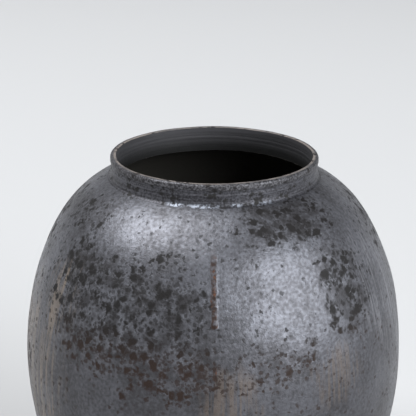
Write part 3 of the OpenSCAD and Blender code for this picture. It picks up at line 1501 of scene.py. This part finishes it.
@dataclass
class Foot:
    """The pad that the jar stands on and the first coil round it."""

    finishes: Finishes
    drift: HandDrift
    bevel: float = 1.2 * MM
    stand: float = 13 * MM
    hollow: float = 1.5 * MM
    corner: float = 8 * MM
    corner_cut: float = 0.3
    floor_step: float = 3 * MM
    bevel_step: float = 0.4 * MM
    corner_step: float = 0.8 * MM
    skin: float = 0.1 * MM
    floor_share: float = 0.9
    corner_skin: float = 0.02 * MM
    pressed_below: float = 0.45 * MM

    @cached_property
    def foot_r(self) -> float:
        """Radius at the ground, before the bevel."""
        return OUTLINE.under.at(OUTLINE.under.slope_at(0)).x

    def pad(self) -> Piece:
        """Makes the pad, hollowed underneath.

        Returns:
            The piece.
        """
        under, edge = OUTLINE.under, OUTLINE.pad_edge
        stand_r = self.foot_r - self.bevel - self.stand
        bow = (stand_r**2 + self.hollow**2) / (2 * self.hollow)
        centre = Vector((0, self.hollow - bow))
        section = Section("base_pad", Vector((0, self.hollow)))
        section.arc(centre, -math.asin(stand_r / bow), self.floor_step)
        section.line(Vector((self.foot_r - self.bevel, 0)), SEAM_STEP)
        slant = (math.pi / 2 + under.slope_at(0)) / 2
        low = self._bevel_end(slant)
        section.line(low, self.bevel_step)
        section.arc(under.centre, under.slope_to(edge) - under.slope_to(low), FINE_STEP)
        section.line(Vector((0, edge.y)), self.floor_step)
        piece = section.turn(TURN_STEPS)
        sort_sides(piece, self._pad_side)
        return piece

    def _bevel_end(self, slant: float) -> Vector:
        """Gives where the bevel, which leaves the ground at a slant, meets the wall.

        Args:
            slant: Rise of the bevel, in radians.

        Returns:
            The point (radius, height).
        """
        under = OUTLINE.under
        start = Vector((self.foot_r - self.bevel, 0))
        arm = start - under.centre
        along = arm.dot(aim(slant))
        return start + (-along + math.sqrt(along**2 - arm.dot(arm) + under.radius**2)) * aim(slant)

    def _pad_side(self, point: Vector) -> Side:
        """Tells the pad's wall, its floor inside the jar and its underside apart.

        Args:
            point: The middle of a face (radius, height).

        Returns:
            The side.
        """
        if OUTLINE.under.depth_of(point) < self.skin:
            return Side.OUTER
        return Side.INNER if point.y > self.floor_share * OUTLINE.pad_edge.y else Side.SEAM

    def first_coil(self) -> Piece:
        """Makes the first coil, with clay pressed into its inner corner.

        Returns:
            The piece.
        """
        wall, lap, under = OUTLINE.wall, OUTLINE.lap, OUTLINE.under
        low, top = OUTLINE.pad_edge, lower_seam()
        inner_top = under.seam_inside(top, wall, lap)
        reach = under.radius - wall - self.corner
        rise = low.y + self.corner
        out = math.sqrt(reach**2 - (under.centre.y - rise) ** 2)
        centre = Vector((under.centre.x + out, rise))
        touch = under.slope_to(centre)
        start = low.copy()
        section = Section("foot_coil", start)
        section.arc(under.centre, top - under.slope_to(low), FINE_STEP)
        section.line(under.at(inner_top, wall), SEAM_STEP)
        section.arc(under.centre, touch - inner_top, FINE_STEP)
        last = -math.pi / 2 + math.asin(self.corner_cut)
        section.arc(centre, last - touch, self.corner_step)
        section.line(Vector((centre.x + self.corner_cut * self.corner, low.y)))
        section.close(SEAM_STEP)
        piece = section.turn(TURN_STEPS)
        sort_sides(piece, self._coil_side)
        return piece

    def _coil_side(self, point: Vector) -> Side:
        """Tells the first coil's sides apart, its inner corner with the inner face.

        Args:
            point: The middle of a face (radius, height).

        Returns:
            The side.
        """
        depth = OUTLINE.under.depth_of(point) / OUTLINE.wall
        if depth < SKIN:
            return Side.OUTER
        pressed = depth > 1 - SKIN and point.y > OUTLINE.pad_edge.y + self.corner_skin
        return Side.INNER if pressed else Side.SEAM

    def build(self) -> Iterable[Piece]:
        """Makes, drifts and dresses both pieces.

        Yields:
            Each piece.
        """
        pad = self.pad()
        self.drift.shape(pad)
        self._stand_flat(pad)
        self.finishes.dress(pad, "pad_clay", (Finish.OUTSIDE, Finish.INSIDE, Finish.FOOT))
        hand_in(pad, "base_pad")
        yield pad
        coil = self.first_coil()
        self.drift.shape(coil)
        self.finishes.dress(coil, "body_clay", (Finish.OUTSIDE, Finish.INSIDE, Finish.FOOT))
        hand_in(coil, "foot_coil")
        yield coil

    def _stand_flat(self, pad: Piece) -> None:
        """Presses the ring that the jar stands on flat again.

        Args:
            pad: The pad, already drifted.
        """
        only(pad)
        bpy.ops.object.mode_set(mode="EDIT")
        bpy.ops.mesh.select_mode(type="VERT")
        bpy.ops.mesh.select_all(action="DESELECT")
        bpy.ops.object.mode_set(mode="OBJECT")
        for vertex in pad.data.vertices:
            vertex.select = vertex.co.z < self.pressed_below
        bpy.ops.object.mode_set(mode="EDIT")
        bpy.ops.transform.resize(value=(1, 1, 0), center_override=CENTRE)
        bpy.ops.mesh.select_all(action="DESELECT")
        bpy.ops.object.mode_set(mode="OBJECT")


def lower_seam() -> float:
    """Gives the slope of the seam that halves the lower wall."""
    shape = OUTLINE
    return (shape.under.slope_to(shape.pad_edge) + shape.under_slope) / 2


@dataclass
class Body:
    """The three coils of the wall, from the foot to above the widest place."""

    finishes: Finishes
    drift: HandDrift
    coils: list[Coil] = field(init=False)

    def __post_init__(self) -> None:
        """Lays the coils out."""
        shape = OUTLINE
        self.coils = [
            Coil("lower_wall_coil", shape.under, lower_seam(), shape.under_slope),
            Coil("belly_coil", shape.belly, shape.under_slope, 0.0),
            Coil("upper_wall_coil", shape.belly, 0.0, shape.belly_slope),
        ]

    def build(self) -> Iterable[Piece]:
        """Makes, drifts and dresses the coils.

        Yields:
            Each piece.
        """
        for coil in self.coils:
            piece = coil.build()
            self.drift.shape(piece)
            self.finishes.dress(piece, "body_clay", (Finish.OUTSIDE, Finish.INSIDE, Finish.FOOT))
            hand_in(piece, coil.node)
            yield piece


@dataclass
class SlipRun:
    """The run of slip down the front of the shoulder, with a bead at its end."""

    top: float = 314 * MM
    end: float = 264 * MM
    half_width: float = 1.4 * MM
    relief: float = 0.3 * MM
    bead: float = 0.5 * MM
    bead_below: float = 2 * MM
    bead_above: float = 3 * MM
    soft: float = 2.4 * MM
    margin: float = 7 * MM

    def raise_on(self, piece: Piece) -> None:
        """Raises the run's part that crosses a piece.

        Args:
            piece: The piece, already turned.
        """
        self._select_front(piece, self.margin, self.end - self.margin, self.top, "FACE")
        bpy.ops.mesh.subdivide(number_cuts=1)
        bpy.ops.object.mode_set(mode="OBJECT")
        self._swell(piece, self.half_width, self.end, self.top, self.relief)
        low, high = self.end - self.bead_below, self.end + self.bead_above
        self._swell(piece, self.half_width, low, high, self.bead)

    def _swell(self, piece: Piece, half: float, low: float, high: float, rise: float) -> None:
        """Lifts a strip of the front along its normals, softly at its edges.

        Args:
            piece: The piece.
            half: Half the width of the strip.
            low: Its lower end.
            high: Its upper end.
            rise: How far it is lifted.
        """
        if self._select_front(piece, half, low, high, "VERT"):
            bpy.ops.transform.shrink_fatten(
                value=rise,
                use_proportional_edit=True,
                proportional_edit_falloff="SMOOTH",
                proportional_size=self.soft,
            )
        bpy.ops.mesh.select_all(action="DESELECT")
        bpy.ops.object.mode_set(mode="OBJECT")

    @staticmethod
    def _select_front(piece: Piece, half: float, low: float, high: float, kind: str) -> int:
        """Selects what lies on the front of the outer face and leaves edit mode on.

        Args:
            piece: The piece.
            half: Half the width of the strip.
            low: Its lower end.
            high: Its upper end.
            kind: What is selected, VERT or FACE.

        Returns:
            How many vertices or faces are selected.
        """
        only(piece)
        bpy.ops.object.mode_set(mode="EDIT")
        bpy.ops.mesh.select_mode(type=kind)
        bpy.ops.mesh.select_all(action="DESELECT")
        bpy.ops.object.mode_set(mode="OBJECT")
        mesh = piece.data
        count = 0
        outer = set()
        for face in mesh.polygons:
            if face.material_index == Side.OUTER.value:
                outer.update(face.vertices)
        parts = mesh.polygons if kind == "FACE" else mesh.vertices
        for part in parts:
            middle = part.center if kind == "FACE" else part.co
            mine = part.material_index == Side.OUTER.value if kind == "FACE" else part.index in outer
            wanted = mine and middle.y < 0 and abs(middle.x) < half and low < middle.z < high
            part.select = wanted
            count += wanted
        bpy.ops.object.mode_set(mode="EDIT")
        return count


@dataclass
class Shoulder:
    """The two coils that turn the wall in to the mouth."""

    finishes: Finishes
    drift: HandDrift
    run: SlipRun = field(default_factory=SlipRun)

    def lower(self) -> Piece:
        """Makes the lower coil.

        Returns:
            The piece.
        """
        shape = OUTLINE
        coil = Coil("lower_shoulder_coil", shape.shoulder, shape.belly_slope, shape.shoulder_slope)
        return coil.build()

    def upper(self) -> Piece:
        """Makes the upper coil, cut off at the collar's seat.

        Returns:
            The piece.
        """
        wall, lap, crown = OUTLINE.wall, OUTLINE.lap, OUTLINE.crown
        seat = Seat()
        start = OUTLINE.shoulder_slope
        inner_start = crown.seam_inside(start, wall, lap)
        section = Section("upper_shoulder_coil", crown.at(start))
        section.arc(crown.centre, crown.slope_to(seat.outer) - start, FINE_STEP)
        section.line(seat.inner, SEAM_STEP)
        section.arc(crown.centre, inner_start - crown.slope_to(seat.inner), FINE_STEP)
        section.close(SEAM_STEP)
        piece = section.turn(TURN_STEPS)
        sort_sides(piece, wall_side(crown))
        return piece

    def build(self) -> Iterable[Piece]:
        """Makes, drifts and dresses both coils.

        Yields:
            Each piece.
        """
        for node, piece in (
            ("lower_shoulder_coil", self.lower()),
            ("upper_shoulder_coil", self.upper()),
        ):
            self.run.raise_on(piece)
            self.drift.shape(piece)
            self.finishes.dress(piece, "body_clay", (Finish.OUTSIDE, Finish.INSIDE, Finish.FOOT))
            hand_in(piece, node)
            yield piece


@dataclass(frozen=True)
class Seat:
    """Where the collar sits on the shoulder, and the crease at its root."""

    crease_round: float = 4.8 * MM
    overhang: float = 0.5 * MM
    lip_t: float = 4.8 * MM

    @cached_property
    def lip_r(self) -> float:
        """Outer radius of the lip."""
        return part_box("lip_coil")[1].x

    @cached_property
    def collar_r(self) -> float:
        """Outer radius of the collar."""
        return self.lip_r - self.overhang

    @cached_property
    def mouth_r(self) -> float:
        """Radius of the bore."""
        return self.lip_r - self.lip_t

    @cached_property
    def crease(self) -> Vector:
        """Centre of the crease's curve, which touches the collar and the shoulder.

        Returns:
            The point (radius, height).
        """
        crown = OUTLINE.crown
        out = self.collar_r + self.crease_round
        rise = math.sqrt((crown.radius + self.crease_round) ** 2 - (out - crown.centre.x) ** 2)
        return Vector((out, crown.centre.y + rise))

    @cached_property
    def outer(self) -> Vector:
        """Outer end of the seat, on the shoulder's outer face."""
        crown = OUTLINE.crown
        return crown.at(crown.slope_to(self.crease))

    @cached_property
    def inner(self) -> Vector:
        """Inner end of the seat, in the bore.

        Returns:
            The point (radius, height).
        """
        crown = OUTLINE.crown
        deep = crown.radius - OUTLINE.wall
        rise = math.sqrt(deep**2 - (self.mouth_r - crown.centre.x) ** 2)
        return Vector((self.mouth_r, crown.centre.y + rise))


@dataclass
class Mouth:
    """The upright collar and the thin coil that makes its lip."""

    finishes: Finishes
    drift: HandDrift
    seat: Seat = field(default_factory=Seat)
    seat_fall: float = math.radians(18)
    lip_round: float = 2.2 * MM
    inner_round: float = 0.7 * MM
    fine: float = 0.5 * MM
    finest: float = 0.2 * MM
    seam_step: float = 1 * MM
    ring_reach: float = 1.3 * MM
    bore_ring_reach: float = 1.6 * MM
    skin: float = 0.4 * MM
    crease_skin: float = 0.1 * MM
    lip_skin: float = 0.05 * MM
    dip_place: float = 1.6 * MM
    dip: float = 0.25 * MM
    dip_reach: float = 1.2 * MM
    ripple: float = 0.25 * MM
    rings: tuple[tuple[float, float], ...] = ((0.30, 0.12), (0.52, -0.10), (0.74, 0.15), (0.9, -0.08))

    @cached_property
    def top(self) -> float:
        """Height of the lip's top."""
        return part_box("lip_coil")[1].z

    @cached_property
    def lip_z(self) -> float:
        """Height of the collar's outer top edge."""
        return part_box("neck_collar")[1].z

    @cached_property
    def bore_z(self) -> float:
        """Height of the collar's inner top edge."""
        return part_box("lip_coil")[0].z

    def collar(self) -> Piece:
        """Makes the collar, with the turning tool's rings round it.

        Returns:
            The piece.
        """
        seat = self.seat
        crease = seat.crease
        start = math.atan2(seat.outer.y - crease.y, seat.outer.x - crease.x)
        section = Section("neck_collar", seat.outer)
        section.arc(crease, -math.pi - start, self.fine)
        section.line(Vector((seat.collar_r, self.lip_z)), self.fine)
        section.line(Vector((seat.mouth_r, self.bore_z)), self.seam_step)
        section.line(seat.inner, self.fine)
        section.close(self.seam_step)
        for part, depth in self.rings:
            height = crease.y + part * (self.lip_z - crease.y)
            outside, bore = Vector((seat.collar_r, height)), Vector((seat.mouth_r, height))
            section.groove(outside, Vector((-1, 0)), depth * MM, self.ring_reach)
            section.groove(bore, Vector((1, 0)), depth * MM, self.bore_ring_reach)
        piece = section.turn(TURN_STEPS)
        sort_sides(piece, self._collar_side)
        return piece

    def _collar_side(self, point: Vector) -> Side:
        """Tells the collar's outer wall, its bore and its seams apart.

        Args:
            point: The middle of a face (radius, height).

        Returns:
            The side.
        """
        seat = self.seat
        if point.x < seat.mouth_r + self.skin:
            return Side.INNER
        crease = seat.crease
        if point.y < crease.y:
            near = (point - crease).length < seat.crease_round + self.crease_skin
            return Side.OUTER if near else Side.SEAM
        return Side.OUTER if point.x > seat.collar_r - self.skin else Side.SEAM

    def lip(self) -> Piece:
        """Makes the lip, rounded outside and nipped inside.

        Returns:
            The piece.
        """
        seat = self.seat
        section = Section("lip_coil", Vector((seat.mouth_r, self.bore_z)))
        section.line(Vector((seat.collar_r, self.lip_z)), self.seam_step)
        section.line(Vector((seat.lip_r, self.lip_z + seat.overhang)), self.fine)
        section.line(Vector((seat.lip_r, self.top - self.lip_round)), self.fine)
        outer = Vector((seat.lip_r - self.lip_round, self.top - self.lip_round))
        section.arc(outer, math.pi / 2, self.fine)
        inner = Vector((seat.mouth_r + self.inner_round, self.top - self.inner_round))
        section.line(Vector((inner.x, self.top)), self.fine)
        section.arc(inner, math.pi / 2, self.finest)
        section.close(self.fine)
        middle = Vector((seat.mouth_r + self.dip_place, self.top))
        section.groove(middle, Vector((0, -1)), self.dip, self.dip_reach)
        piece = section.turn(TURN_STEPS)
        sort_sides(piece, self._lip_side)
        return piece

    def _lip_side(self, point: Vector) -> Side:
        """Tells the lip's rubbed face, its bore and its seat apart.

        Args:
            point: The middle of a face (radius, height).

        Returns:
            The side.
        """
        if point.x < self.seat.mouth_r + self.lip_skin:
            return Side.INNER
        fall = (self.seat.collar_r - point.x) * math.tan(self.seat_fall)
        return Side.SEAM if point.y < self.lip_z - fall + self.lip_skin else Side.OUTER

    def build(self) -> Iterable[Piece]:
        """Makes, drifts and dresses both pieces.

        Yields:
            Each piece.
        """
        collar = self.collar()
        self.drift.shape(collar, self.ripple)
        self.finishes.dress(collar, "body_clay", (Finish.COLLAR, Finish.INSIDE, Finish.FOOT))
        hand_in(collar, "neck_collar")
        yield collar
        lip = self.lip()
        self.drift.shape(lip, self.ripple)
        self.finishes.dress(lip, "lip_clay", (Finish.LIP, Finish.INSIDE, Finish.FOOT))
        hand_in(lip, "lip_coil")
        yield lip


# ---------------------------------------------------------------- the studio


@dataclass(frozen=True)
class Softbox:
    """A softbox that faces the jar's shoulder.

    Its turn is in degrees round from the front towards the right, its rise in degrees above the
    level, its power in watts.
    """

    name: str
    turn: float
    rise: float
    away: float
    size: tuple[float, float]
    power: float
    colour: tuple[float, float, float]
    shoulder_share: float = 0.8

    def hang(self) -> None:
        """Hangs the softbox."""
        middle = Vector((0, 0, self.shoulder_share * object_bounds()[1].z))
        angle, lift = math.radians(self.turn), math.radians(self.rise)
        level = Vector((math.sin(angle), -math.cos(angle), 0)) * math.cos(lift)
        way = level + Vector((0, 0, math.sin(lift)))
        bpy.ops.object.light_add(type="AREA", location=middle + self.away * way)
        light = bpy.context.object
        light.name = self.name
        light.rotation_euler = way.to_track_quat("Z", "Y").to_euler()
        light.data.shape = "RECTANGLE"
        light.data.size, light.data.size_y = self.size
        light.data.energy = self.power
        light.data.color = self.colour


@dataclass
class Studio:
    """A pale floor, two softboxes and the camera."""

    floor_size: float = 9.0
    pitch: float = math.radians(19.03)
    distance: float = 1.1
    lens: float = 113.38
    aim_below_top: float = 47.97 * MM
    aim_side: float = -4.2 * MM
    walls: tuple[float, ...] = (0.64, 0.65, 0.66, 1)
    ceiling: tuple[float, ...] = (0.12, 0.12, 0.125, 1)
    ceiling_from: float = 0.5
    ground: tuple[float, ...] = (0.48, 0.481, 0.484, 1)
    ground_rough: float = 0.9
    softboxes: tuple[Softbox, ...] = (
        Softbox("right_softbox", 49, 23, 9.0, (8.7, 6.6), 1330, (0.94, 0.97, 1.0)),
        Softbox("overhead_softbox", -90, 64, 8.4, (6.2, 6.2), 1080, (0.97, 0.985, 1.0)),
    )

    def floor(self) -> None:
        """Lays the floor."""
        bpy.ops.object.select_all(action="DESELECT")
        bpy.ops.mesh.primitive_plane_add(size=self.floor_size)
        plane = bpy.context.object
        plane.name = "floor"
        material = bpy.data.materials.new("pale_floor")
        material.use_nodes = True
        shader = material.node_tree.nodes["Principled BSDF"]
        shader.inputs["Base Color"].default_value = self.ground
        shader.inputs["Roughness"].default_value = self.ground_rough
        plane.data.materials.append(material)
        plane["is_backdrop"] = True

    def camera(self) -> None:
        """Sets the camera up."""
        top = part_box("lip_coil")[1].z
        back = Vector((0, -math.cos(self.pitch), math.sin(self.pitch)))
        aimed = Vector((self.aim_side, 0, top - self.aim_below_top))
        bpy.ops.object.camera_add(location=aimed + self.distance * back)
        camera = bpy.context.object
        camera.rotation_euler = back.to_track_quat("Z", "Y").to_euler()
        camera.data.lens = self.lens
        bpy.context.scene.camera = camera

    def world(self) -> None:
        """Fills the room with soft light."""
        world = bpy.data.worlds.new("soft_room")
        world.use_nodes = True
        graph = Graph(world.node_tree)
        _, _, rise = graph.split(graph.put("TexCoord", out="Generated"))
        light = graph.blend(graph.ramp(rise, 0.0, self.ceiling_from), self.walls, self.ceiling)
        backdrop = graph.put("Background", {"Color": light})
        graph.put("OutputWorld", {"Surface": backdrop})
        bpy.context.scene.world = world

    def build(self) -> None:
        """Sets the whole studio up."""
        self.floor()
        for softbox in self.softboxes:
            softbox.hang()
        self.world()
        self.camera()
        settings = bpy.context.scene.view_settings
        settings.view_transform = "Standard"
        settings.look = "None"


def main() -> None:
    """Builds the jar from the foot up, and the studio round it."""
    logging.basicConfig(level=logging.INFO, format="%(name)s: %(message)s")
    finishes = Finishes(Effects())
    drift = HandDrift()
    parts = (
        Foot(finishes, drift),
        Body(finishes, drift),
        Shoulder(finishes, drift),
        Mouth(finishes, drift),
    )
    for part in parts:
        for piece in part.build():
            log.info("%s: %d faces", piece.name, len(piece.data.polygons))
    drift.put_away()
    Studio().build()


if __name__ == "__main__":
    main()
